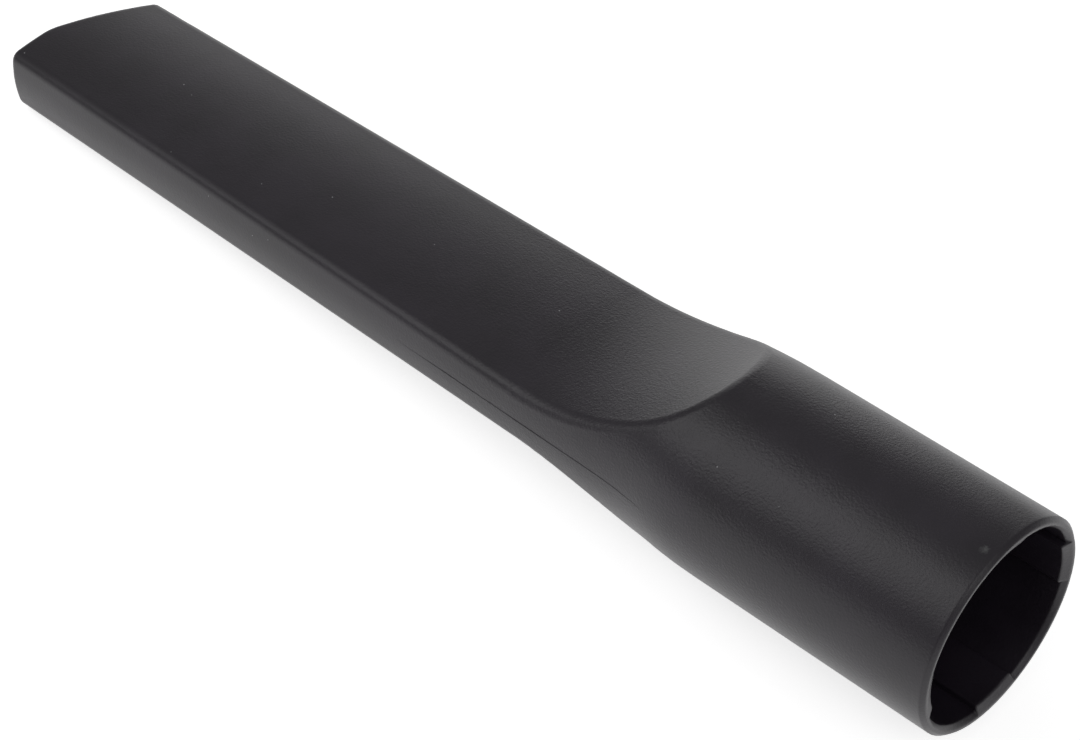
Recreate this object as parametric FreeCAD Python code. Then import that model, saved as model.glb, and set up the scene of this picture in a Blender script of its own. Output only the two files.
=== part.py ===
"""Crevice tool of a vacuum cleaner, moulded in one piece.

A round socket, which is pushed onto the cleaner's tube, narrows through a neck into a long flat hollow
blade. The sides keep the roundness of the socket, and the two broad faces have a slight crown. Each broad
face climbs back to the round of the socket in a hollow ramp, which leaves a crescent edge. The tip is cut
square on its long side and slants back to its short side. Shallow pads inside the socket grip the tube.

The axis of the socket is the X axis. The mouth is at the origin and opens towards +X, the tip points towards
-X, and +Z is up. A station is a distance from the mouth towards the tip. All sizes are in millimetres and
degrees.
"""
import FreeCAD
import Part

import math
import os

from FreeCAD import Vector

# Tube that the socket grips
TUBE_DIAMETER = 35.0
GRIP_CLEARANCE = 0.05

# Whole moulding
LENGTH = 240.0
WALL = 2.0

# Socket: grip pads in the bore, lead-in and rim
PAD_COUNT = 4
PAD_HEIGHT = 1.1
PAD_ANGLE = 30.0
PAD_LENGTH = 40.0
PAD_TURN = -5.0
LEAD_IN_DEPTH = 0.8
LEAD_IN_WIDTH = 0.7
RIM_CHAMFER = 0.7

# Neck: its sides draw in between start and end, and the ramps run down to the broad faces
NECK_START = 51.0
NECK_END = 74.0
NECK_START_HANDLE = 10.5
NECK_END_HANDLE = 11.5
RAMP_START = 56.1
RAMP_END = 94.6

# Blade: its thickness is that between the crests of the two crowned faces
BLADE_ROOT_WIDTH = 38.0
BLADE_TIP_WIDTH = 33.8
BLADE_THICKNESS = 15.7
CROWN_RADIUS = 90.0
OUTER_EDGE_RADIUS = 2.4
INNER_EDGE_RADIUS = 0.6

# Tip
TIP_SQUARE_WIDTH = 11.0
TIP_SLANT_ANGLE = 20.0
TIP_BEND_RADIUS = 10.0
TIP_EDGE_RADIUS = 1.4

# Derived sizes
PAD_RADIUS = TUBE_DIAMETER / 2 + GRIP_CLEARANCE
BORE_RADIUS = PAD_RADIUS + PAD_HEIGHT
SOCKET_RADIUS = BORE_RADIUS + WALL
BLADE_TAPER = (BLADE_TIP_WIDTH - BLADE_ROOT_WIDTH) / 2 / (LENGTH - NECK_END)
OVERRUN = SOCKET_RADIUS / 2
HALF_SPAN = SOCKET_RADIUS + OVERRUN

# Half of a unit circle as a rational curve: across, up, weight
HALF_CIRCLE = [(0, -1, 1), (1, -1, math.sqrt(0.5)), (1, 0, 1), (1, 1, math.sqrt(0.5)), (0, 1, 1)]

MOUTH = Vector(0, 0, 0)
TO_TIP = Vector(-1, 0, 0)
ACROSS = Vector(0, 1, 0)
UP = Vector(0, 0, 1)


def blade_half_width(station):
    """Half-width of the blade, whose sides taper in straight lines."""
    return BLADE_ROOT_WIDTH / 2 + BLADE_TAPER * (station - NECK_END)


def oval_solid(poles, half_height):
    """Solid of elliptical sections. Its half-width follows a Bezier curve of (station, half-width) poles."""
    degree = len(poles) - 1
    weights = [[weight for _, _, weight in HALF_CIRCLE]] * len(poles)
    sides = []
    for side in (-1, 1):
        net = [[Vector(-s, side * w * y, half_height * z) for y, z, _ in HALF_CIRCLE] for s, w in poles]
        surface = Part.BSplineSurface()
        surface.buildFromPolesMultsKnots(net, [degree + 1] * 2, [3, 2, 3], [0, 1], [0, 0.5, 1], False, False,
                                         degree, 2, weights)
        sides.append(surface)
    faces = [surface.toShape() for surface in sides]
    for end in (0, 1):
        faces.append(Part.Face(Part.Wire([surface.uIso(end).toShape() for surface in sides])))
    shell = Part.makeShell(faces)
    shell.sewShape()
    solid = Part.makeSolid(shell)
    if solid.Volume < 0:
        solid.reverse()
    return solid


def round_sides(inset):
    """Socket, neck and blade before the broad faces are cut, drawn in by the inset all round."""
    radius = SOCKET_RADIUS - inset
    socket = Part.makeCylinder(radius, OVERRUN + NECK_START, TO_TIP * -OVERRUN, TO_TIP)
    neck_poles = [
        (NECK_START, radius),
        (NECK_START + NECK_START_HANDLE, radius),
        (NECK_END - NECK_END_HANDLE, blade_half_width(NECK_END - NECK_END_HANDLE) - inset),
        (NECK_END, blade_half_width(NECK_END) - inset),
    ]
    past_tip = LENGTH + OVERRUN
    blade_poles = [neck_poles[-1], (past_tip, blade_half_width(past_tip) - inset)]
    return socket.fuse([oval_solid(neck_poles, radius), oval_solid(blade_poles, radius)]).removeSplitter()


def broad_faces(inset):
    """Body between the broad faces and their ramps. A ramp is an arc that leaves the blade smoothly."""
    crest = BLADE_THICKNESS / 2 - inset
    rise = SOCKET_RADIUS - BLADE_THICKNESS / 2
    run = RAMP_END - RAMP_START
    ramp_radius = (rise ** 2 + run ** 2) / (2 * rise) + inset
    ramp_turn = math.acos(1 - (HALF_SPAN - crest) / ramp_radius)
    crown_axis = UP * (BLADE_THICKNESS / 2 - CROWN_RADIUS)

    def on_ramp(turn):
        return Vector(ramp_radius * math.sin(turn) - RAMP_END, 0, crest + ramp_radius * (1 - math.cos(turn)))

    past_tip = Vector(-LENGTH - OVERRUN, 0, crest)
    past_mouth = Vector(OVERRUN, 0, HALF_SPAN)
    axis_at_tip = Vector(past_tip.x, 0, crown_axis.z)
    axis_at_mouth = Vector(past_mouth.x, 0, crown_axis.z)
    profile = Part.Wire([
        Part.makeLine(past_tip, on_ramp(0)),
        Part.Arc(on_ramp(0), on_ramp(ramp_turn / 2), on_ramp(ramp_turn)).toShape(),
        Part.makeLine(on_ramp(ramp_turn), past_mouth),
        Part.makeLine(past_mouth, axis_at_mouth),
        Part.makeLine(axis_at_mouth, axis_at_tip),
        Part.makeLine(axis_at_tip, past_tip),
    ])
    section = Part.Face(profile)
    section.rotate(crown_axis, TO_TIP, -90)
    upper = section.revolve(crown_axis, TO_TIP, 180)
    return upper.common(upper.mirror(MOUTH, UP))


def plan_view():
    """Slab that trims the ends: straight at the mouth, and at the tip square, then bent into the slant."""
    slant = math.radians(TIP_SLANT_ANGLE)
    along_slant = Vector(math.sin(slant), math.cos(slant), 0)
    bend = Vector(-LENGTH, TIP_SQUARE_WIDTH - BLADE_TIP_WIDTH / 2, 0)
    bend_reach = TIP_BEND_RADIUS * math.tan(slant / 2)
    bend_depth = TIP_BEND_RADIUS * (1 / math.cos(slant / 2) - 1)
    bend_start = bend - ACROSS * bend_reach
    bend_middle = bend + (along_slant - ACROSS).normalize() * bend_depth
    bend_end = bend + along_slant * bend_reach
    corners = [
        bend_end,
        bend + along_slant * ((HALF_SPAN - bend.y) / along_slant.y),
        Vector(0, HALF_SPAN, 0),
        Vector(0, -HALF_SPAN, 0),
        Vector(-LENGTH, -HALF_SPAN, 0),
        bend_start,
    ]
    edges = [Part.makeLine(start, stop) for start, stop in zip(corners, corners[1:])]
    edges.append(Part.Arc(bend_start, bend_middle, bend_end).toShape())
    return Part.Face(Part.Wire(edges)).translated(UP * -HALF_SPAN).extrude(UP * (2 * HALF_SPAN))


def is_broad_edge(edge):
    """True for the long edges of the broad faces and the crescents, not for seams of the round sides."""
    box = edge.BoundBox
    least = OVERRUN / 100
    runs_along = box.XLength > least and box.YLength > least
    off_axis = box.ZMin > least or box.ZMax < -least
    return runs_along and off_axis


def envelope(inset, edge_radius):
    """Form of the tool drawn in by the inset, past both ends, with the edges of its broad faces rounded."""
    form = round_sides(inset).common(broad_faces(inset))
    return form.makeFillet(edge_radius, [edge for edge in form.Edges if is_broad_edge(edge)])


def is_end_face(face):
    """True for the upright faces that end the tool at the mouth and at the tip."""
    surface = face.Surface
    if surface.TypeId not in ("Part::GeomPlane", "Part::GeomCylinder"):
        return False
    axis_is_upright = abs(surface.Axis.dot(UP)) > math.cos(math.radians(45))
    return axis_is_upright == (surface.TypeId == "Part::GeomCylinder")


def end_outline(form, near_tip):
    """Edges round the end of the tool at the tip or at the mouth."""
    edges = []
    for face in form.Faces:
        if is_end_face(face) and (face.CenterOfMass.x < -LENGTH / 2) == near_tip:
            edges.extend(face.Edges)
    return [edge for edge in edges if sum(edge.isSame(other) for other in edges) == 1]


def lead_in():
    """Cone that opens the bore at the mouth."""
    return Part.makeCone(BORE_RADIUS + LEAD_IN_WIDTH, BORE_RADIUS, LEAD_IN_DEPTH, MOUTH, TO_TIP)


def grip_pad(angle):
    """Pad bedded half-way into the wall of the bore, at an angle round the axis. Its front slopes in."""
    slope_start = Vector(0, 0, BORE_RADIUS + LEAD_IN_WIDTH)
    slope_end = Vector(-LEAD_IN_DEPTH, 0, PAD_RADIUS)
    back = slope_end + TO_TIP * PAD_LENGTH
    bed = UP * (BORE_RADIUS + WALL / 2)
    bed_back = bed + TO_TIP * -back.x
    section = Part.Face(Part.makePolygon([slope_start, slope_end, back, bed_back, bed, slope_start]))
    section.rotate(MOUTH, TO_TIP, angle - PAD_ANGLE / 2)
    return section.revolve(MOUTH, TO_TIP, PAD_ANGLE)


def crevice_tool():
    """The whole moulding."""
    outside = envelope(0, OUTER_EDGE_RADIUS).common(plan_view())
    outside = outside.makeFillet(TIP_EDGE_RADIUS, end_outline(outside, True))
    outside = outside.makeChamfer(RIM_CHAMFER, end_outline(outside, False))
    duct = envelope(WALL, INNER_EDGE_RADIUS)
    pads = [grip_pad(PAD_TURN + 360 / PAD_COUNT * place) for place in range(PAD_COUNT)]
    return outside.cut([duct, lead_in()]).fuse(pads).removeSplitter().Solids[0]


os.makedirs("parts", exist_ok=True)
crevice_tool().exportStep("parts/nozzle_body.step")
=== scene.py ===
"""Looks of the crevice tool: one dark moulding with a fine grain, parting lines and a little dust.

Everything is in metres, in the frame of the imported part. The mouth of the socket is at the origin, the tip
points towards -X and +Z is up.
"""
import math

import bmesh
import bpy
from mathutils import Matrix, Vector
from mathutils.bvhtree import BVHTree


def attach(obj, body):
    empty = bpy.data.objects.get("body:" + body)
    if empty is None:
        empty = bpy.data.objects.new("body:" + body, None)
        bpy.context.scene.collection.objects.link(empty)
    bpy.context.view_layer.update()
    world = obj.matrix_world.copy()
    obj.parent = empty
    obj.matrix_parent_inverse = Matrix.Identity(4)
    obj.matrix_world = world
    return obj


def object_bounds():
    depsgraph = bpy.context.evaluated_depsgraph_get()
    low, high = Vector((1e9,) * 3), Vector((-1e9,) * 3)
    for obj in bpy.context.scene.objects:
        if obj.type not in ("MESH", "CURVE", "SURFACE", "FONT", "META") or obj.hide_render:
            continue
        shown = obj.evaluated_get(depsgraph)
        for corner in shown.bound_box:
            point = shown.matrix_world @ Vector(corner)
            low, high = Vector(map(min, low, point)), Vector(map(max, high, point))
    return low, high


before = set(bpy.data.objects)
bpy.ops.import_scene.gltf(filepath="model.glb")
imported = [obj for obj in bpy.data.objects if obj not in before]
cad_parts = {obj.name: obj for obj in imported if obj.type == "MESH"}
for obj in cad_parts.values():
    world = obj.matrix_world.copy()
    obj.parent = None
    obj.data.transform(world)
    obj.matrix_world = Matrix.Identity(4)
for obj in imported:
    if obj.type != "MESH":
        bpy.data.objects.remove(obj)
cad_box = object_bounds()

MM = 0.001
WHITE = (1.0, 1.0, 1.0, 1.0)

# Camera of the photograph, with angles in degrees and the lens in millimetres
CAMERA_PLACE = Vector((0.14672, -0.25167, 0.31802))
CAMERA_AZIMUTH = 44.947
CAMERA_ELEVATION = 42.533
CAMERA_ROLL = -1.349
CAMERA_LENS = 86.76
CAMERA_SENSOR = 36.0

# Colour of the plastic, with faint blotches and specks of dust
PLASTIC_DARK = (0.0113, 0.0082, 0.0131, 1.0)
PLASTIC_PALE = (0.0181, 0.0138, 0.0209, 1.0)
BLOTCH_SIZE = 14 * MM
BLOTCH_DETAIL = 4.0
BLOTCH_RANGE = (0.35, 0.65)
DUST_COLOUR = (0.30, 0.30, 0.31, 1.0)
SPECK_SPACING = 5.3 * MM
SPECK_RADIUS = 0.17 * MM
SPECK_CORE_SHARE = 0.5

# Pale scuff on top of the socket, beside the rim
SCUFF_PLACE = Vector((-2.7, -4.2, 20.2)) * MM
SCUFF_RADIUS = 1.7 * MM
SCUFF_SMEAR = 0.7 * MM
SCUFF_RANGE = (0.22, 0.55)
SCUFF_COLOUR = (0.075, 0.075, 0.077, 1.0)

# Surface of the plastic: softened edges, a slight wave, and a grain with pores that is strongest at the neck
ROUGHNESS_RANGE = (0.33, 0.43)
EDGE_SOFTNESS = 0.6 * MM
EDGE_SAMPLES = 8
WAVE_SIZE = 18 * MM
WAVE_DETAIL = 1.0
WAVE_DEPTH = 0.05 * MM
GRAIN_SIZE = 0.45 * MM
GRAIN_DEPTH = 0.044 * MM
GRAIN_MIDDLE = Vector((-65, 0, 0)) * MM
GRAIN_FULL_REACH = 35 * MM
GRAIN_FAINT_REACH = 75 * MM
GRAIN_FAINT_SHARE = 0.4
PORE_SIZE = 0.28 * MM
PORE_DEPTH = 0.036 * MM

# Parting lines along the two sides of the neck, between stations from the mouth
LINE_START = 60 * MM
LINE_END = 124 * MM
LINE_STEP = 1.0 * MM
LINE_HEIGHT = 0.10 * MM
LINE_WIDTH = 0.30 * MM
LINE_FADE = 16 * MM
LINE_END_SHARE = 0.1
LINE_BEAT = 21 * MM
LINE_BEAT_SHARE = 0.2

# Floor, which glows round a middle in its own coordinates, and limits of the search for its slope
FLOOR_REACH = 12.0
FLOOR_COLOUR = (0.80, 0.80, 0.80, 1.0)
FLOOR_GLOW = 0.70
FLOOR_FAR_GLOW = 0.30
GLOW_MIDDLE = (0.0, 0.20, 0.0)
GLOW_REACH = 0.33
GLOW_END = 0.60
SLOPE_LIMIT = 0.5
SLOPE_PRECISION = 1e-5

# Light, with angles in degrees and power in watts
SKY_HORIZON = 0.22
SKY_ZENITH = 0.405
SOFTBOXES = {
    "softbox_front": {"azimuth": -34, "elevation": 45, "distance": 0.8,
                      "width": 0.48, "height": 0.64, "power": 1.5},
    "softbox_right": {"azimuth": 80, "elevation": 36, "distance": 0.9,
                      "width": 0.5, "height": 0.5, "power": 1.0},
    "softbox_back": {"azimuth": 220, "elevation": 13, "distance": 1.2,
                     "width": 0.9, "height": 0.6, "power": 1.9},
}


def add_node(tree, kind, settings=None, **inputs):
    """Adds a shader node. Inputs are values or sockets to link from; settings are its own properties."""
    node = tree.nodes.new(kind)
    for name, value in (settings or {}).items():
        setattr(node, name, value)
    for name, value in inputs.items():
        socket = node.inputs[name.replace("_", " ")]
        if isinstance(value, bpy.types.NodeSocket):
            tree.links.new(value, socket)
        else:
            socket.default_value = value
    return node


def empty_tree(owner):
    """Node tree of a material or a world, with no nodes in it."""
    owner.use_nodes = True
    owner.node_tree.nodes.clear()
    return owner.node_tree


def object_place(tree):
    """Place on an object, in its own coordinates."""
    return add_node(tree, "ShaderNodeTexCoord").outputs["Object"]


def noise(tree, place, size, detail=2.0):
    """Noise from 0 to 1, with features of about a size."""
    node = add_node(tree, "ShaderNodeTexNoise", Vector=place, Scale=1 / size, Detail=detail)
    return node.outputs["Fac"]


def cells(tree, place, size, feature="F1"):
    """Distance to the nearest of scattered points, as a share of the size of the cells round them."""
    node = add_node(tree, "ShaderNodeTexVoronoi", {"feature": feature}, Vector=place, Scale=1 / size)
    return node.outputs["Distance"]


def distance_from(tree, place, middle):
    """Distance of a place from a fixed middle."""
    node = add_node(tree, "ShaderNodeVectorMath", {"operation": "DISTANCE"})
    tree.links.new(place, node.inputs[0])
    node.inputs[1].default_value = middle
    return node.outputs["Value"]


def rescale(tree, value, old, new=(0.0, 1.0)):
    """Maps a value from an old range to a new one, and holds it within the new one."""
    node = add_node(tree, "ShaderNodeMapRange", Value=value, From_Min=old[0], From_Max=old[1],
                    To_Min=new[0], To_Max=new[1])
    return node.outputs["Result"]


def combine(tree, operation, first, second):
    """Two values combined by a Math operation."""
    node = add_node(tree, "ShaderNodeMath", {"operation": operation})
    tree.links.new(first, node.inputs[0])
    tree.links.new(second, node.inputs[1])
    return node.outputs["Value"]


def ramp(tree, factor, start, end):
    """Colour ramp between two (position, colour) stops."""
    node = add_node(tree, "ShaderNodeValToRGB", Fac=factor)
    for element, stop in zip(node.color_ramp.elements, (start, end)):
        element.position, element.color = stop
    return node.outputs["Color"]


def mix(tree, factor, under, over):
    """Lays a plain colour over that of a socket, by a factor."""
    node = add_node(tree, "ShaderNodeMix", {"data_type": "RGBA"})
    sockets = {socket.identifier: socket for socket in [*node.inputs, *node.outputs]}
    tree.links.new(factor, sockets["Factor_Float"])
    tree.links.new(under, sockets["A_Color"])
    sockets["B_Color"].default_value = over
    return sockets["Result_Color"]


def bump(tree, height, depth, normal, strength=1.0):
    """Normal of a surface that is raised by up to a depth, laid on another normal."""
    node = add_node(tree, "ShaderNodeBump", Height=height, Distance=depth, Strength=strength, Normal=normal)
    return node.outputs["Normal"]


def plastic_colour(tree, place):
    """Dark plastic with faint blotches, under specks of dust and the scuff."""
    blotch = noise(tree, place, BLOTCH_SIZE, BLOTCH_DETAIL)
    low, high = BLOTCH_RANGE
    colour = ramp(tree, blotch, (low, PLASTIC_DARK), (high, PLASTIC_PALE))
    edge = SPECK_RADIUS / SPECK_SPACING
    speck = rescale(tree, cells(tree, place, SPECK_SPACING), (edge, edge * SPECK_CORE_SHARE))
    colour = mix(tree, speck, colour, DUST_COLOUR)
    nearness = rescale(tree, distance_from(tree, place, SCUFF_PLACE), (SCUFF_RADIUS, 0.0))
    rubbed = combine(tree, "MULTIPLY", nearness, noise(tree, place, SCUFF_SMEAR))
    return mix(tree, rescale(tree, rubbed, SCUFF_RANGE), colour, SCUFF_COLOUR)


def plastic_normal(tree, place, pores):
    """Soft edges and a slight wave, under a grain and pores that fade away from the neck."""
    edges = add_node(tree, "ShaderNodeBevel", {"samples": EDGE_SAMPLES}, Radius=EDGE_SOFTNESS)
    wave = noise(tree, place, WAVE_SIZE, WAVE_DETAIL)
    grain = cells(tree, place, GRAIN_SIZE, "SMOOTH_F1")
    reach = (GRAIN_FULL_REACH, GRAIN_FAINT_REACH)
    amount = rescale(tree, distance_from(tree, place, GRAIN_MIDDLE), reach, (1.0, GRAIN_FAINT_SHARE))
    normal = bump(tree, wave, WAVE_DEPTH, edges.outputs["Normal"])
    normal = bump(tree, grain, GRAIN_DEPTH, normal, amount)
    return bump(tree, pores, PORE_DEPTH, normal, amount)


def plastic_material():
    """Dark polypropylene with a moulded grain."""
    material = bpy.data.materials.new("black_plastic")
    tree = empty_tree(material)
    place = object_place(tree)
    pores = noise(tree, place, PORE_SIZE)
    shader = add_node(tree, "ShaderNodeBsdfPrincipled", Base_Color=plastic_colour(tree, place),
                      Roughness=rescale(tree, pores, (0.0, 1.0), ROUGHNESS_RANGE),
                      Normal=plastic_normal(tree, place, pores))
    add_node(tree, "ShaderNodeOutputMaterial", Surface=shader.outputs["BSDF"])
    return material


def mesh_object(name, bm, material):
    """Object in the scene made of a bmesh."""
    mesh = bpy.data.meshes.new(name)
    bm.to_mesh(mesh)
    bm.free()
    mesh.materials.append(material)
    made = bpy.data.objects.new(name, mesh)
    bpy.context.scene.collection.objects.link(made)
    return made


def parting_line(name, side, tool, material):
    """Thin ridge along one side, where the halves of the mould met. It fades out towards its ends."""
    surface = BVHTree.FromObject(tool, bpy.context.evaluated_depsgraph_get())
    bm = bmesh.new()
    rows = []
    for step in range(round((LINE_END - LINE_START) / LINE_STEP) + 1):
        station = LINE_START + step * LINE_STEP
        from_end = min(station - LINE_START, LINE_END - station)
        beat = 1 - LINE_BEAT_SHARE + LINE_BEAT_SHARE * math.sin(2 * math.pi * station / LINE_BEAT)
        share = LINE_END_SHARE + (1 - LINE_END_SHARE) * beat * min(1, from_end / LINE_FADE)
        skin, normal, _, _ = surface.ray_cast(Vector((-station, side, 0)), Vector((0, -side, 0)))
        foot = skin - normal * LINE_HEIGHT
        crest = skin + normal * LINE_HEIGHT * share
        spread = Vector((0, 0, LINE_WIDTH / 2)) * share
        rows.append([bm.verts.new(point) for point in (foot - spread, crest, foot + spread)])
    for row, following in zip(rows, rows[1:]):
        for first, second in ((0, 1), (1, 2), (2, 0)):
            bm.faces.new((row[first], row[second], following[second], following[first]))
    bm.faces.new(rows[0])
    bm.faces.new(rows[-1])
    bmesh.ops.recalc_face_normals(bm, faces=bm.faces)
    return mesh_object(name, bm, material)


def resting_slope(mesh, middle):
    """Height under the middle, and slope along X, of the floor on which both ends of the tool lie."""
    points = [(vertex.co.x - middle, vertex.co.z) for vertex in mesh.vertices]
    least, most = -SLOPE_LIMIT, SLOPE_LIMIT

    def height(slope):
        return min(z - slope * x for x, z in points)

    while most - least > SLOPE_PRECISION:
        lower = least + (most - least) / 3
        upper = most - (most - least) / 3
        if height(lower) < height(upper):
            least = lower
        else:
            most = upper
    return height(least), least


def floor_material():
    """Pale floor that takes the tool's shadow and is white to the eye and in reflections."""
    material = bpy.data.materials.new("floor")
    tree = empty_tree(material)
    path = add_node(tree, "ShaderNodeLightPath").outputs
    seen = combine(tree, "MAXIMUM", path["Is Camera Ray"], path["Is Glossy Ray"])
    seen = combine(tree, "MAXIMUM", seen, path["Is Transmission Ray"])
    away = distance_from(tree, object_place(tree), GLOW_MIDDLE)
    level = rescale(tree, away, (GLOW_REACH, GLOW_END), (FLOOR_GLOW, FLOOR_FAR_GLOW))
    paint = add_node(tree, "ShaderNodeBsdfDiffuse", Color=FLOOR_COLOUR)
    glow = add_node(tree, "ShaderNodeEmission", Color=WHITE, Strength=combine(tree, "MULTIPLY", seen, level))
    both = add_node(tree, "ShaderNodeAddShader")
    tree.links.new(paint.outputs["BSDF"], both.inputs[0])
    tree.links.new(glow.outputs["Emission"], both.inputs[1])
    add_node(tree, "ShaderNodeOutputMaterial", Surface=both.outputs["Shader"])
    return material


def add_floor(tool):
    """Plain floor under the tool, as the tool would lie on it."""
    low, high = cad_box
    middle = (low.x + high.x) / 2
    height, slope = resting_slope(tool.data, middle)
    bm = bmesh.new()
    bmesh.ops.create_grid(bm, x_segments=1, y_segments=1, size=FLOOR_REACH)
    floor = mesh_object("floor", bm, floor_material())
    tilt = Matrix.Rotation(-math.atan(slope), 4, "Y")
    floor.matrix_world = Matrix.Translation((middle, 0, height)) @ tilt


def add_sky():
    """Soft light from all round, brighter from above than from the horizon."""
    world = bpy.data.worlds.new("studio")
    bpy.context.scene.world = world
    tree = empty_tree(world)
    direction = add_node(tree, "ShaderNodeTexCoord").outputs["Generated"]
    height = add_node(tree, "ShaderNodeSeparateXYZ", Vector=direction).outputs["Z"]
    level = rescale(tree, height, (0.0, 1.0), (SKY_HORIZON, SKY_ZENITH))
    light = add_node(tree, "ShaderNodeBackground", Color=WHITE, Strength=level)
    add_node(tree, "ShaderNodeOutputWorld", Surface=light.outputs["Background"])


def facing(azimuth, elevation):
    """Turn of a lamp or camera that looks back from an azimuth and an elevation. Azimuth 0 looks along +Y."""
    turn = Matrix.Rotation(math.radians(azimuth), 4, "Z")
    tilt = Matrix.Rotation(math.radians(90 - elevation), 4, "X")
    return turn @ tilt


def add_softbox(name, azimuth, elevation, distance, width, height, power):
    """Soft lamp that faces the tool's middle and is itself unseen."""
    low, high = cad_box
    lamp = bpy.data.lights.new(name, "AREA")
    lamp.shape = "RECTANGLE"
    lamp.size = width
    lamp.size_y = height
    lamp.energy = power
    made = bpy.data.objects.new(name, lamp)
    back = Matrix.Translation((0, 0, distance))
    made.matrix_world = Matrix.Translation((low + high) / 2) @ facing(azimuth, elevation) @ back
    made.visible_camera = False
    bpy.context.scene.collection.objects.link(made)


def add_camera():
    """Camera that sees the tool as the photograph does."""
    data = bpy.data.cameras.new("camera")
    data.sensor_fit = "HORIZONTAL"
    data.sensor_width = CAMERA_SENSOR
    data.lens = CAMERA_LENS
    camera = bpy.data.objects.new("camera", data)
    roll = Matrix.Rotation(math.radians(CAMERA_ROLL), 4, "Z")
    camera.matrix_world = Matrix.Translation(CAMERA_PLACE) @ facing(CAMERA_AZIMUTH, CAMERA_ELEVATION) @ roll
    bpy.context.scene.collection.objects.link(camera)
    bpy.context.scene.camera = camera


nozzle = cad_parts["nozzle_body"]
plastic = plastic_material()
nozzle.data.materials.clear()
nozzle.data.materials.append(plastic)
for line_name, line_side in (("parting_line_near", -1), ("parting_line_far", 1)):
    ridge = parting_line(line_name, line_side, nozzle, plastic)
    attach(ridge, "root")

add_floor(nozzle)
add_sky()
for softbox_name, softbox in SOFTBOXES.items():
    add_softbox(softbox_name, **softbox)
add_camera()
bpy.context.scene.view_settings.view_transform = "Standard"
